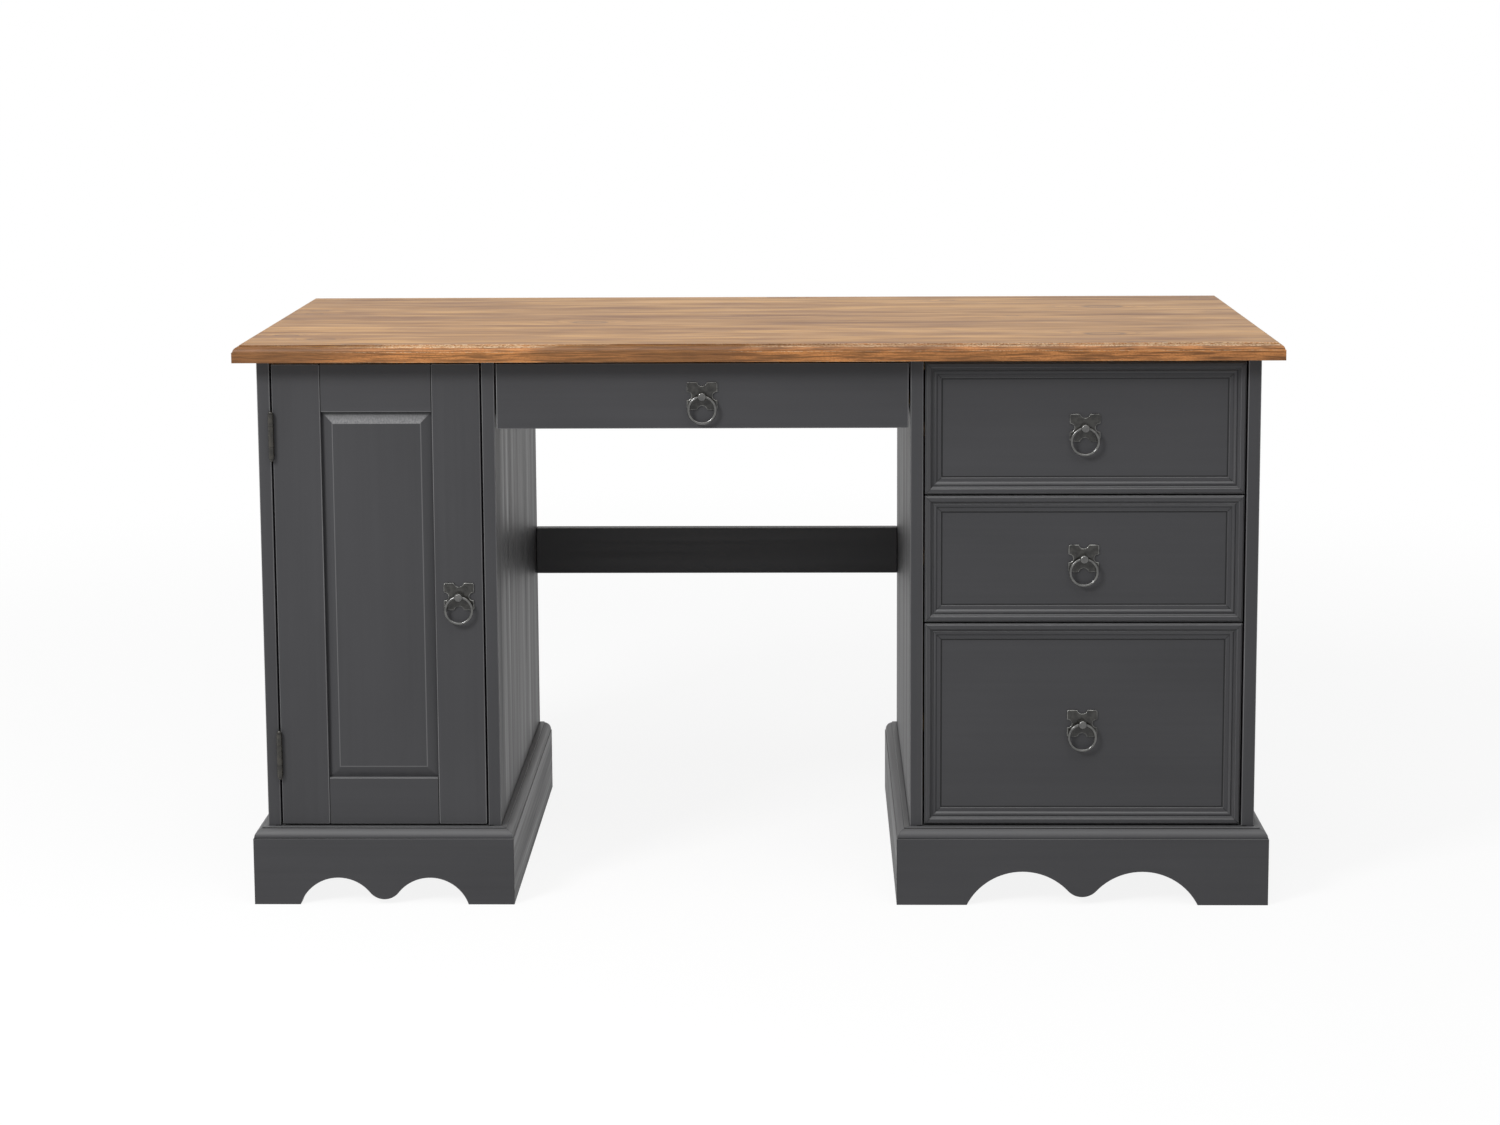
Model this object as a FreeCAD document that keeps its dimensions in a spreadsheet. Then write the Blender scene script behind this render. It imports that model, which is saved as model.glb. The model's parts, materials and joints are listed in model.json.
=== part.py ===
import FreeCAD, Part
import collections
import math
import os
import types
import Sketcher

# A twin-pedestal desk in painted pine: a cupboard on the left, three drawers on the right and a
# pencil drawer between them, all under one moulded top.
# X runs to the right, Y to the back and Z up. The origin lies on the floor under the middle of the top.
# Lengths are in millimetres.

SIZES = {
    # The top and its moulded edge
    "top_width": 1380,
    "top_depth": 600,
    "desk_height": 760,
    "top_thickness": 23,
    "top_edge_inset": 9,
    "top_edge_face": 14,
    "top_edge_quirk": 1.2,
    "top_edge_lip": 2,
    "front_overhang": 28,
    "side_overhang": 27,
    "back_overhang": 12,
    # The two pedestals
    "cupboard_width": 315,
    "drawer_unit_width": 461,
    "panel_thickness": 17,
    "back_thickness": 6,
    "rebate_width": 9,
    "housing_depth": 6,
    "side_foot_gap": 4,
    "rail_setback": 1,
    "rail_depth": 60,
    # The stretcher at the back
    "stretcher_level": 340,
    "stretcher_height": 70,
    # The plinths and their scallops
    "plinth_height": 104,
    "plinth_thickness": 18,
    "plinth_face": 91,
    "plinth_flat": 7,
    "plinth_quirk": 1.2,
    "plinth_lip": 1.5,
    "cupboard_foot": 62,
    "cupboard_arch_rise": 37,
    "cupboard_drop_gap": 7,
    "drawer_unit_foot": 94,
    "drawer_unit_arch_rise": 46,
    "drawer_unit_drop_gap": 11,
    # The gaps round the door and the drawer fronts
    "reveal": 2.5,
    "top_reveal": 5,
    # The drawers
    "upper_front_height": 176,
    "middle_front_height": 170,
    "pencil_front_height": 87,
    "front_thickness": 18,
    "drawer_board": 12,
    "drawer_bottom_board": 5,
    "drawer_rear_gap": 96,
    "drawer_side_gap": 5,
    "box_lift": 12,
    "box_drop": 26,
    "bottom_lift": 8,
    "bottom_groove_depth": 5,
    "bottom_play": 0.3,
    "runner_height": 15,
    "runner_groove_depth": 6,
    "runner_play": 0.3,
    "runner_setback": 6,
    # The moulding on three of the drawer fronts
    "moulding_width": 22,
    "moulding_thickness": 7,
    "moulding_round": 2,
    "moulding_band": 7,
    "moulding_band_round": 1.8,
    "moulding_quirk": 1,
    "moulding_bead": 3,
    "moulding_bead_quirk": 0.5,
    "moulding_cove": 4.5,
    "moulding_cove_radius": 4,
    "moulding_fillet": 1.8,
    "moulding_fillet_round": 0.8,
    # The door
    "door_thickness": 20,
    "door_member": 64,
    "door_groove_setback": 7,
    "door_groove_width": 6,
    "door_groove_depth": 9,
    "tongue_play": 0.5,
    "panel_play": 1.5,
    "panel_clearance": 0.15,
    "panel_bevel": 16,
    "panel_field_setback": 1.5,
    # The hinges
    "hinge_length": 60,
    "hinge_end_distance": 66,
    "hinge_barrel_diameter": 7.4,
    "hinge_barrel_gap": 0.3,
    "hinge_leaf_thickness": 1.1,
    "hinge_leaf_depth": 17,
    "hinge_outer_knuckle": 16,
    "hinge_knuckle_gap": 0.3,
    "hinge_pin": 3,
    "hinge_pin_fit": 0.05,
    "finial_diameter": 5.6,
    "finial_neck": 1,
    # The ring pulls
    "pull_plate_width": 40.5,
    "pull_plate_height": 37,
    "pull_plate_thickness": 2,
    "pull_end_notch_radius": 6.6,
    "pull_side_notch_radius": 5.4,
    "pull_side_notch_lead": 2,
    "pull_corner_radius": 2.8,
    "pull_post": 11.5,
    "pull_post_reach": 10,
    "pull_post_round": 2.2,
    "pull_stud": 5,
    "pull_stud_fit": 0.3,
    "pull_stud_tail": 1,
    "nut_height": 4,
    "nut_circle": 9.2,
    "nut_fit": 0.05,
    "ring_outside": 39.5,
    "ring_wire": 3.8,
    "ring_eye": 6.2,
    "ring_offset": 5.2,
    # The shelf and its pins
    "shelf_gap": 1,
    "shelf_setback": 6,
    "shelf_rest_gap": 0.1,
    "shelf_pin": 5,
    "shelf_pin_depth": 8,
    "shelf_pin_reach": 8,
    "shelf_pin_fit": 0.05,
    "shelf_pin_inset": 45,
    "shelf_pin_pitch": 40,
    # The door catch
    "catch_length": 46,
    "catch_case_length": 30,
    "catch_ear": 3,
    "catch_height": 13,
    "catch_depth": 14,
    "catch_gap": 0.3,
    "catch_inset": 45,
    "catch_plate_length": 40,
    "catch_plate_height": 11,
    "catch_plate_thickness": 1.2,
    # The screws that hold the top
    "screw_shank": 4,
    "screw_head": 8,
    "screw_head_height": 2.4,
    "screw_bite": 12,
    "screw_point": 4,
    "screw_fit": 0.1,
    "screw_inset": 45,
    # How far a cut runs past the wood
    "overrun": 5,
}

HALF_SHARE = 0.5
HEXAGON_FLAT_SHARE = math.sqrt(3) / 4
# Part of its radius to which a plate's notch opens on each side of its middle
NOTCH_ARC_SHARE = 0.98
# Radius of a moulding's bead as a share of its width
BEAD_RADIUS_SHARE = 0.57
# Part of the half span of a plinth's two arches at which each of them is highest
APEX_SHARES = {"cupboard": 0.546, "drawer_unit": 0.518}
QUARTER_TURN = 90
HALF_TURN = 180
FULL_TURN = 360
X_AXIS = FreeCAD.Vector(1, 0, 0)
Y_AXIS = FreeCAD.Vector(0, 1, 0)
Z_AXIS = FreeCAD.Vector(0, 0, 1)
PLANE_ACROSS = {"X": "YZ_Plane", "Y": "XZ_Plane", "Z": "XY_Plane"}

# Numbers by which a sketch knows its own axes, which start at its origin, and the points of a line
SKETCH_ACROSS, SKETCH_UP = range(-1, -3, -1)
START_POINT, END_POINT, CENTRE_POINT = range(1, 4)

# A corner of an outline; one with a radius starts an arc that turns left for 1 and right for -1
Corner = collections.namedtuple("Corner", "across up radius turn", defaults=(None, None))


class Size:
    """A length worked out from the sheet: its value now, and the expression that binds it there."""

    def __init__(self, value, text):
        self.value = value
        self.text = text

    def __add__(self, other):
        other = as_size(other)
        return Size(self.value + other.value, f"({self.text} + {other.text})")

    def __sub__(self, other):
        other = as_size(other)
        return Size(self.value - other.value, f"({self.text} - {other.text})")

    def __mul__(self, other):
        other = as_size(other)
        return Size(self.value * other.value, f"({self.text} * {other.text})")

    def __truediv__(self, other):
        other = as_size(other)
        return Size(self.value / other.value, f"({self.text} / {other.text})")

    def __neg__(self):
        return Size(-self.value, f"(0 - {self.text})")


def as_size(number):
    return number if isinstance(number, Size) else Size(number, repr(number))


# The document and its sheet of sizes
doc = FreeCAD.newDocument("desk")
sheet = doc.addObject("Spreadsheet::Sheet", "sizes")
for row, (alias, length) in enumerate(SIZES.items(), 1):
    sheet.set(f"A{row}", alias)
    sheet.set(f"B{row}", str(length))
    sheet.setAlias(f"B{row}", alias)
doc.recompute()
size = types.SimpleNamespace()
for alias in SIZES:
    setattr(size, alias, Size(float(getattr(sheet, alias)), f"sizes.{alias}"))
nodes = []


# Tools for making pieces

def bind(thing, prop, length):
    thing.setExpression(prop, as_size(length).text)


def stand(thing, place, axis=Z_AXIS, angle=0):
    """Turns a piece about its own origin and stands that origin at a place."""
    thing.Placement = FreeCAD.Placement(FreeCAD.Vector(), FreeCAD.Rotation(axis, angle))
    for letter, coordinate in zip("xyz", place):
        bind(thing, f"Placement.Base.{letter}", coordinate)


def keep(label, *pieces):
    """Keeps a piece, or several alike as one group, under the name its file will have."""
    node = pieces[0]
    if len(pieces) > 1:
        node = doc.addObject("Part::Compound", "group")
        node.Links = list(pieces)
    node.Label = label
    nodes.append(node)
    return node


def board(low, high):
    """A plain rectangular board between two opposite corners."""
    plank = doc.addObject("Part::Box", "board")
    for prop, start, end in zip(("Length", "Width", "Height"), low, high):
        bind(plank, prop, as_size(end) - start)
    stand(plank, low)
    return plank


def sketch_across(body, along, start=0):
    """An empty sketch square to the X, Y or Z axis of its body, as far along it as start says."""
    plane = next(item for item in body.Origin.OriginFeatures if item.Role == PLANE_ACROSS[along])
    sketch = body.newObject("Sketcher::SketchObject", "outline")
    sketch.AttachmentSupport = [(plane, "")]
    sketch.MapMode = "FlatFace"
    if isinstance(start, Size):
        bind(sketch, "AttachmentOffset.Base.z", -start if along == "Y" else start)
    return sketch


def dimension(sketch, geometry, point, across, up):
    """Dimensions one point of a sketch from the sketch's origin."""
    for kind, axis, distance in (("DistanceX", SKETCH_UP, across), ("DistanceY", SKETCH_ACROSS, up)):
        if isinstance(distance, Size):
            rule = Sketcher.Constraint(kind, SKETCH_ACROSS, START_POINT, geometry, point, distance.value)
            bind(sketch, f"Constraints[{sketch.addConstraint(rule)}]", distance)
        else:
            sketch.addConstraint(Sketcher.Constraint("PointOnObject", geometry, point, axis))


def flat_point(across, up):
    return FreeCAD.Vector(as_size(across).value, as_size(up).value, 0)


def arc_between(start, end, radius, turn):
    """The short arc from start to end; turn is 1 to the left and -1 to the right."""
    chord = end - start
    middle = (start + end) * HALF_SHARE
    rise = math.sqrt(radius ** 2 - (chord.Length * HALF_SHARE) ** 2)
    centre = middle + FreeCAD.Vector(-chord.y, chord.x, 0).normalize() * (rise * turn)
    first, last = (start, end) if turn > 0 else (end, start)
    first_angle = math.atan2(first.y - centre.y, first.x - centre.x)
    last_angle = math.atan2(last.y - centre.y, last.x - centre.x)
    return Part.ArcOfCircle(Part.Circle(centre, Z_AXIS, radius), first_angle, last_angle)


def draw(sketch, outline):
    """Draws a closed outline of corners (across, up); a corner (across, up, radius, turn) starts an arc."""
    base = sketch.GeometryCount
    corners = [Corner(*values) for values in outline]
    ends = []
    for corner, following in zip(corners, corners[1:] + corners[:1]):
        start = flat_point(corner.across, corner.up)
        end = flat_point(following.across, following.up)
        if corner.radius:
            sketch.addGeometry(arc_between(start, end, corner.radius.value, corner.turn), False)
            ends.append((START_POINT, END_POINT) if corner.turn > 0 else (END_POINT, START_POINT))
        else:
            sketch.addGeometry(Part.LineSegment(start, end), False)
            ends.append((START_POINT, END_POINT))
    for index, corner in enumerate(corners):
        after = (index + 1) % len(corners)
        meeting = (base + index, ends[index][1], base + after, ends[after][0])
        sketch.addConstraint(Sketcher.Constraint("Coincident", *meeting))
        dimension(sketch, base + index, ends[index][0], corner.across, corner.up)
        if corner.radius:
            rule = Sketcher.Constraint("Radius", base + index, corner.radius.value)
            bind(sketch, f"Constraints[{sketch.addConstraint(rule)}]", corner.radius)


def draw_circle(sketch, across, up, diameter):
    radius = diameter / 2
    number = sketch.addGeometry(Part.Circle(flat_point(across, up), Z_AXIS, radius.value), False)
    rule = Sketcher.Constraint("Radius", number, radius.value)
    bind(sketch, f"Constraints[{sketch.addConstraint(rule)}]", radius)
    dimension(sketch, number, CENTRE_POINT, across, up)


def new_body(place, axis=Z_AXIS, angle=0):
    body = doc.addObject("PartDesign::Body", "piece")
    stand(body, place, axis, angle)
    return body


def pad(body, along, sketch, length, both_ways=False):
    """Carries a sketch along the positive axis, or half the length each way."""
    feature = body.newObject("PartDesign::Pad", "pad")
    feature.Profile = sketch
    feature.Reversed = along == "Y"
    feature.SideType = "Symmetric" if both_ways else "One side"
    bind(feature, "Length", length)


def extrude(body, along, outline, length, start=0, both_ways=False):
    sketch = sketch_across(body, along, start)
    draw(sketch, outline)
    pad(body, along, sketch, length, both_ways)
    return body


def extrude_round(body, along, centre, diameter, length, start=0):
    sketch = sketch_across(body, along, start)
    draw_circle(sketch, centre[0], centre[1], diameter)
    pad(body, along, sketch, length)


def cut_through(body, along, *outlines):
    """Cuts outlines right through a body along one of its axes."""
    sketch = sketch_across(body, along)
    for outline in outlines:
        draw(sketch, outline)
    pocket_through(body, sketch)


def drill_through(body, along, diameter, *centres):
    sketch = sketch_across(body, along)
    for across, up in centres:
        draw_circle(sketch, across, up, diameter)
    pocket_through(body, sketch)


def pocket_through(body, sketch):
    feature = body.newObject("PartDesign::Pocket", "cut")
    feature.Profile = sketch
    feature.Type = "ThroughAll"
    feature.SideType = "Symmetric"


def drill_blind(body, along, diameter, depth, start, forward, centres):
    """Drills blind holes from a plane of the body, forward along the axis or back along it."""
    sketch = sketch_across(body, along, start)
    for across, up in centres:
        draw_circle(sketch, across, up, diameter)
    feature = body.newObject("PartDesign::Pocket", "holes")
    feature.Profile = sketch
    feature.Reversed = forward
    bind(feature, "Length", depth)


def turn_solid(place, profile, axis=Z_AXIS, angle=0):
    """A turned piece: a half outline (radius, height) swung about the upright axis, then laid over."""
    body = new_body(place, axis, angle)
    sketch = sketch_across(body, "Y")
    draw(sketch, profile)
    feature = body.newObject("PartDesign::Revolution", "turning")
    feature.Profile = sketch
    feature.ReferenceAxis = (sketch, ["V_Axis"])
    feature.Angle = FULL_TURN
    return body


def rectangle(low_across, low_up, high_across, high_up):
    return [(low_across, low_up), (high_across, low_up), (high_across, high_up), (low_across, high_up)]


def mirrored(outline, side):
    """The outline itself for side 1, or its mirror image across the upright axis for side -1."""
    if side > 0:
        return outline
    return [flipped(Corner(*values)) for values in outline]


def flipped(corner):
    across = -corner.across if isinstance(corner.across, Size) else corner.across
    turn = -corner.turn if corner.turn else None
    return corner._replace(across=across, turn=turn)


# Main planes and levels of the desk
front_plane = size.front_overhang - size.top_depth / 2
rear_plane = size.top_depth / 2 - size.back_overhang
pedestal_depth = rear_plane - front_plane
inside_rear = rear_plane - size.back_thickness
rail_front = front_plane + size.door_thickness + size.rail_setback
top_underside = size.desk_height - size.top_thickness
rail_underside = top_underside - size.panel_thickness
floor_underside = size.plinth_height - size.panel_thickness
fronts_top = top_underside - size.top_reveal
fronts_bottom = size.plinth_height + size.reveal
shelf_level = (size.plinth_height + rail_underside - size.panel_thickness) / 2
box_front = front_plane + size.front_thickness
box_rear = inside_rear - size.drawer_rear_gap

# Left and right faces of the pedestals, outside and inside
cupboard_left = size.side_overhang - size.top_width / 2
cupboard_right = cupboard_left + size.cupboard_width
drawer_unit_right = size.top_width / 2 - size.side_overhang
drawer_unit_left = drawer_unit_right - size.drawer_unit_width
PEDESTALS = {
    "cupboard": (cupboard_left, cupboard_right),
    "drawer_unit": (drawer_unit_left, drawer_unit_right),
}


def inside_faces(pedestal):
    left, right = PEDESTALS[pedestal]
    return left + size.panel_thickness, right - size.panel_thickness


# Fastening of the top

def rail_spans():
    """Left and right end, front and back face of each top rail."""
    spans = []
    for pedestal in PEDESTALS:
        left, right = inside_faces(pedestal)
        spans.append((left, right, rail_front, rail_front + size.rail_depth))
        spans.append((left, right, inside_rear - size.rail_depth, inside_rear))
    return spans


def screw_places():
    places = []
    for left, right, front, back in rail_spans():
        places.append((left + size.screw_inset, (front + back) / 2))
        places.append((right - size.screw_inset, (front + back) / 2))
    return places


def top_rail(span):
    left, right, front, back = span
    rail = new_body((left, front, rail_underside))
    extrude(rail, "Z", rectangle(0, 0, right - left, back - front), size.panel_thickness)
    middle = (back - front) / 2
    hole = size.screw_shank + size.screw_fit * 2
    drill_through(rail, "Z", hole, (size.screw_inset, middle), (right - left - size.screw_inset, middle))
    return rail


def top_screw(place):
    """A pan-head screw, head under the rail and point in the top."""
    shank = size.screw_shank / 2
    tip = size.panel_thickness + size.screw_bite - size.screw_point * HALF_SHARE
    profile = [
        (0, -size.screw_head_height),
        (shank, -size.screw_head_height),
        (size.screw_head / 2, -size.screw_head_height * HALF_SHARE),
        (size.screw_head / 2, 0),
        (shank, 0),
        (shank, tip - size.screw_point),
        (0, tip),
    ]
    return turn_solid((place[0], place[1], rail_underside), profile)


# The top

def moulded_edge(face, quirk, inset, lip, height):
    """Corners of a moulded edge from its upright face to its upper surface: quirk, round, lip."""
    radius = (inset - quirk + height - lip - face) / 2
    return [(0, face), (quirk, face, radius, -1), (inset, height - lip), (inset, height)]


def top_panel():
    panel = new_body((0, -size.top_depth / 2, top_underside))
    edge = moulded_edge(
        size.top_edge_face, size.top_edge_quirk, size.top_edge_inset, size.top_edge_lip, size.top_thickness
    )
    section = [(0, 0)] + edge + [(size.top_depth, size.top_thickness), (size.top_depth, 0)]
    extrude(panel, "X", section, size.top_width, both_ways=True)
    half = size.top_width / 2
    above = size.top_thickness + size.overrun
    waste = [shifted(Corner(*values), -half) for values in edge[:-1]]
    waste += [(size.top_edge_inset - half, above), (-half - size.overrun, above)]
    waste += [(-half - size.overrun, size.top_edge_face)]
    cut_through(panel, "Y", waste, mirrored(waste, -1))
    hole = size.screw_shank + size.screw_fit * 2
    pilots = [(across, along + size.top_depth / 2) for across, along in screw_places()]
    drill_blind(panel, "Z", hole, size.screw_bite, 0, True, pilots)
    keep("top_panel", panel)


def shifted(corner, distance):
    return corner._replace(across=distance + corner.across)


# The pedestals

def pedestal_side(label, outer_face, side, pin_rows=()):
    """A pedestal side; side is 1 where its inner face looks to the right and -1 to the left."""
    panel = new_body((outer_face, front_plane, size.side_foot_gap))
    thickness = size.panel_thickness
    rebate_start = pedestal_depth - size.back_thickness
    plan = [
        (0, 0),
        (thickness, 0),
        (thickness, rebate_start),
        (thickness - size.rebate_width, rebate_start),
        (thickness - size.rebate_width, pedestal_depth),
        (0, pedestal_depth),
    ]
    extrude(panel, "Z", mirrored(plan, side), top_underside - size.side_foot_gap)
    low = floor_underside - size.side_foot_gap
    housing = rectangle(
        thickness - size.housing_depth, low, thickness + size.overrun, low + size.panel_thickness
    )
    cut_through(panel, "Y", mirrored(housing, side))
    if pin_rows:
        centres = [(along - front_plane, up - size.side_foot_gap) for along in pin_columns() for up in pin_rows]
        hole = size.shelf_pin + size.shelf_pin_fit * 2
        inner_face = thickness if side > 0 else -thickness
        drill_blind(panel, "X", hole, size.shelf_pin_depth, inner_face, side < 0, centres)
    keep(label, panel)


def pedestal_boards(pedestal):
    """The floor in its housings and the back in its rebates."""
    left, right = inside_faces(pedestal)
    floor_low = (left - size.housing_depth, front_plane, floor_underside)
    floor_high = (right + size.housing_depth, inside_rear, size.plinth_height)
    keep(f"{pedestal}_floor", board(floor_low, floor_high))
    back_low = (left - size.rebate_width, inside_rear, floor_underside)
    back_high = (right + size.rebate_width, rear_plane, top_underside)
    keep(f"{pedestal}_back", board(back_low, back_high))


def plinth_section():
    edge = moulded_edge(
        size.plinth_face,
        size.plinth_quirk,
        size.plinth_thickness - size.plinth_flat,
        size.plinth_lip,
        size.plinth_height,
    )
    back = size.plinth_thickness
    return [(0, 0)] + edge + [(back, size.plinth_height), (back, 0)]


def scallop(half_span, apex_share, rise, drop_gap):
    """Two arches that meet in a rounded drop, all arcs running smoothly into each other."""
    apex = half_span * apex_share
    reach = half_span - apex
    arch_radius = (reach * reach + rise * rise) / (rise * 2)
    fall = rise - drop_gap
    both_radii = (apex * apex + fall * fall) / (fall * 2)
    drop_radius = both_radii - arch_radius
    join_across = apex * drop_radius / both_radii
    join_up = rise - fall * arch_radius / both_radii
    return [
        (-half_span, -size.overrun),
        (half_span, -size.overrun),
        (half_span, 0, arch_radius, 1),
        (join_across, join_up, drop_radius, -1),
        (-join_across, join_up, arch_radius, 1),
        (-half_span, 0),
    ]


def plinth_front(pedestal, foot, rise, drop_gap):
    left, right = PEDESTALS[pedestal]
    thickness = size.plinth_thickness
    length = right - left + thickness * 2
    front = new_body(((left + right) / 2, front_plane - thickness, 0))
    extrude(front, "X", plinth_section(), length, both_ways=True)
    cut_through(front, "Y", scallop(length / 2 - foot, APEX_SHARES[pedestal], rise, drop_gap))
    mitre = mitre_waste(length, thickness)
    cut_through(front, "Z", mitre, mirrored(mitre, -1))
    keep(f"{pedestal}_plinth_front", front)


def mitre_waste(length, width):
    """The corner cut off the left end of a board, whose outer edge keeps its full length."""
    end = -length / 2
    return [
        (end - size.overrun, -size.overrun),
        (end + width + size.overrun, width + size.overrun),
        (end - size.overrun, width + size.overrun),
    ]


def plinth_side(outer_face, side):
    thickness = size.plinth_thickness
    strip = new_body((outer_face, front_plane - thickness, 0))
    extrude(strip, "Y", mirrored(plinth_section(), side), pedestal_depth + thickness)
    far = thickness + size.overrun
    mitre = [(-size.overrun, -size.overrun), (far, -size.overrun), (far, far)]
    cut_through(strip, "Z", mirrored(mitre, side))
    return strip


def plinth_sides(pedestal):
    left, right = PEDESTALS[pedestal]
    thickness = size.plinth_thickness
    keep(f"{pedestal}_plinth_sides", plinth_side(left - thickness, 1), plinth_side(right + thickness, -1))


def rear_stretcher():
    low = (cupboard_right, rear_plane - size.panel_thickness, size.stretcher_level)
    high = (drawer_unit_left, rear_plane, size.stretcher_level + size.stretcher_height)
    keep("rear_stretcher", board(low, high))


# The shelf

def pin_columns():
    front = front_plane + size.door_thickness + size.shelf_setback + size.shelf_pin_inset
    return front, inside_rear - size.shelf_pin_inset


def pin_level():
    return shelf_level - size.shelf_rest_gap - size.shelf_pin / 2


def pin_rows():
    return [pin_level() - size.shelf_pin_pitch, pin_level(), pin_level() + size.shelf_pin_pitch]


def shelf():
    left, right = inside_faces("cupboard")
    front = front_plane + size.door_thickness + size.shelf_setback
    low = (left + size.shelf_gap, front, shelf_level)
    high = (right - size.shelf_gap, inside_rear - size.shelf_gap, shelf_level + size.panel_thickness)
    keep("cupboard_shelf", board(low, high))


def shelf_pins():
    left, right = inside_faces("cupboard")
    radius = size.shelf_pin / 2
    profile = rectangle(0, -size.shelf_pin_depth, radius, size.shelf_pin_reach)
    pins = []
    for along in pin_columns():
        pins.append(turn_solid((left, along, pin_level()), profile, Y_AXIS, QUARTER_TURN))
        pins.append(turn_solid((right, along, pin_level()), profile, Y_AXIS, -QUARTER_TURN))
    keep("shelf_pins", *pins)


# The ring pulls

def plate_outline():
    """A rounded plate with a round notch at each end and a deeper one in each side."""
    half_width = size.pull_plate_width / 2
    half_height = size.pull_plate_height / 2
    corner = size.pull_corner_radius
    end_notch = size.pull_end_notch_radius
    end_bite = end_notch * NOTCH_ARC_SHARE
    side_notch = size.pull_side_notch_radius
    side_bite = side_notch * NOTCH_ARC_SHARE
    waist = half_width - size.pull_side_notch_lead
    right_edge = [
        (end_bite, half_height),
        (half_width - corner, half_height, corner, -1),
        (half_width, half_height - corner),
        (half_width, side_notch),
        (waist, side_bite, side_notch, 1),
        (waist, -side_bite),
        (half_width, -side_notch),
        (half_width, corner - half_height, corner, -1),
        (half_width - corner, -half_height),
        (end_bite, -half_height, end_notch, 1),
    ]
    left_edge = [
        (-end_bite, -half_height),
        (corner - half_width, -half_height, corner, -1),
        (-half_width, corner - half_height),
        (-half_width, -side_notch),
        (-waist, -side_bite, side_notch, 1),
        (-waist, side_bite),
        (-half_width, side_notch),
        (-half_width, half_height - corner, corner, -1),
        (corner - half_width, half_height),
        (-end_bite, half_height, end_notch, 1),
    ]
    return right_edge + left_edge


def ring_pull(owner, across, up, face, wall):
    """A ring pull on the face of a wooden wall: plate, post with its nut, and the hanging ring."""
    plate = new_body((across, face - size.pull_plate_thickness, up))
    extrude(plate, "Y", plate_outline(), size.pull_plate_thickness)
    drill_through(plate, "Y", size.pull_stud + size.pull_stud_fit * 2, (0, 0))
    keep(f"{owner}_pull_plate", plate)
    plate_front = face - size.pull_plate_thickness
    tail = size.pull_plate_thickness + wall + size.nut_height + size.pull_stud_tail
    stud = size.pull_stud / 2
    head = size.pull_post / 2
    rounding = size.pull_post_round
    profile = [
        (0, -tail),
        (stud, -tail),
        (stud, 0),
        (head, 0),
        (head, size.pull_post_reach - rounding, rounding, 1),
        (head - rounding, size.pull_post_reach),
        (0, size.pull_post_reach),
    ]
    post = turn_solid((across, plate_front, up), profile, X_AXIS, QUARTER_TURN)
    drill_through(post, "X", size.ring_eye, (0, size.ring_offset))
    keep(f"{owner}_pull_post", post, pull_nut((across, face + wall, up)))
    ring = doc.addObject("Part::Torus", "ring")
    mean_radius = (size.ring_outside - size.ring_wire) / 2
    bind(ring, "Radius1", mean_radius)
    bind(ring, "Radius2", size.ring_wire / 2)
    stand(ring, (across, plate_front - size.ring_offset, up - mean_radius), X_AXIS, QUARTER_TURN)
    keep(f"{owner}_pull_ring", ring)


def pull_nut(place):
    nut = new_body(place)
    radius = size.nut_circle / 2
    side = size.nut_circle * HEXAGON_FLAT_SHARE
    hexagon = [
        (radius, 0),
        (radius * HALF_SHARE, side),
        (-radius * HALF_SHARE, side),
        (-radius, 0),
        (-radius * HALF_SHARE, -side),
        (radius * HALF_SHARE, -side),
    ]
    extrude(nut, "Y", hexagon, size.nut_height)
    drill_through(nut, "Y", size.pull_stud + size.nut_fit * 2, (0, 0))
    return nut


# The drawers

def box_span(bottom, top):
    """Lower and upper edge of the drawer box behind a front."""
    return bottom + size.box_lift, top - size.box_drop


def runner_span(bottom, top):
    """Lower and upper edge of the runner halfway up a drawer box."""
    low, high = box_span(bottom, top)
    middle = (low + high) / 2
    return middle - size.runner_height / 2, middle + size.runner_height / 2


def drawer_front(name, left, right, bottom, top, face):
    """The front board, grooved along its back for the drawer bottom and bored for the pull."""
    front = new_body(((left + right) / 2, face, bottom))
    thickness = front_plane + size.front_thickness - face
    groove = size.box_lift + size.bottom_lift
    groove_top = groove + size.drawer_bottom_board + size.bottom_play
    groove_end = thickness - size.bottom_groove_depth
    height = top - bottom
    section = [
        (0, 0),
        (thickness, 0),
        (thickness, groove),
        (groove_end, groove),
        (groove_end, groove_top),
        (thickness, groove_top),
        (thickness, height),
        (0, height),
    ]
    extrude(front, "X", section, right - left, both_ways=True)
    drill_through(front, "Y", size.pull_stud + size.pull_stud_fit * 2, (0, height / 2))
    keep(f"{name}_front", front)
    ring_pull(name, (left + right) / 2, (bottom + top) / 2, face, thickness)


def drawer_side(outer_face, side, bottom, top):
    """A drawer side with its runner groove outside and its bottom groove inside."""
    low, high = box_span(bottom, top)
    runner_low, runner_high = runner_span(bottom, top)
    strip = new_body((outer_face, box_front, low))
    thickness = size.drawer_board
    floor_top = size.bottom_lift + size.drawer_bottom_board + size.bottom_play
    section = [
        (0, 0),
        (thickness, 0),
        (thickness, size.bottom_lift),
        (thickness - size.bottom_groove_depth, size.bottom_lift),
        (thickness - size.bottom_groove_depth, floor_top),
        (thickness, floor_top),
        (thickness, high - low),
        (0, high - low),
        (0, runner_high + size.runner_play - low),
        (size.runner_groove_depth, runner_high + size.runner_play - low),
        (size.runner_groove_depth, runner_low - size.runner_play - low),
        (0, runner_low - size.runner_play - low),
    ]
    return extrude(strip, "Y", mirrored(section, side), box_rear - box_front)


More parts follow.
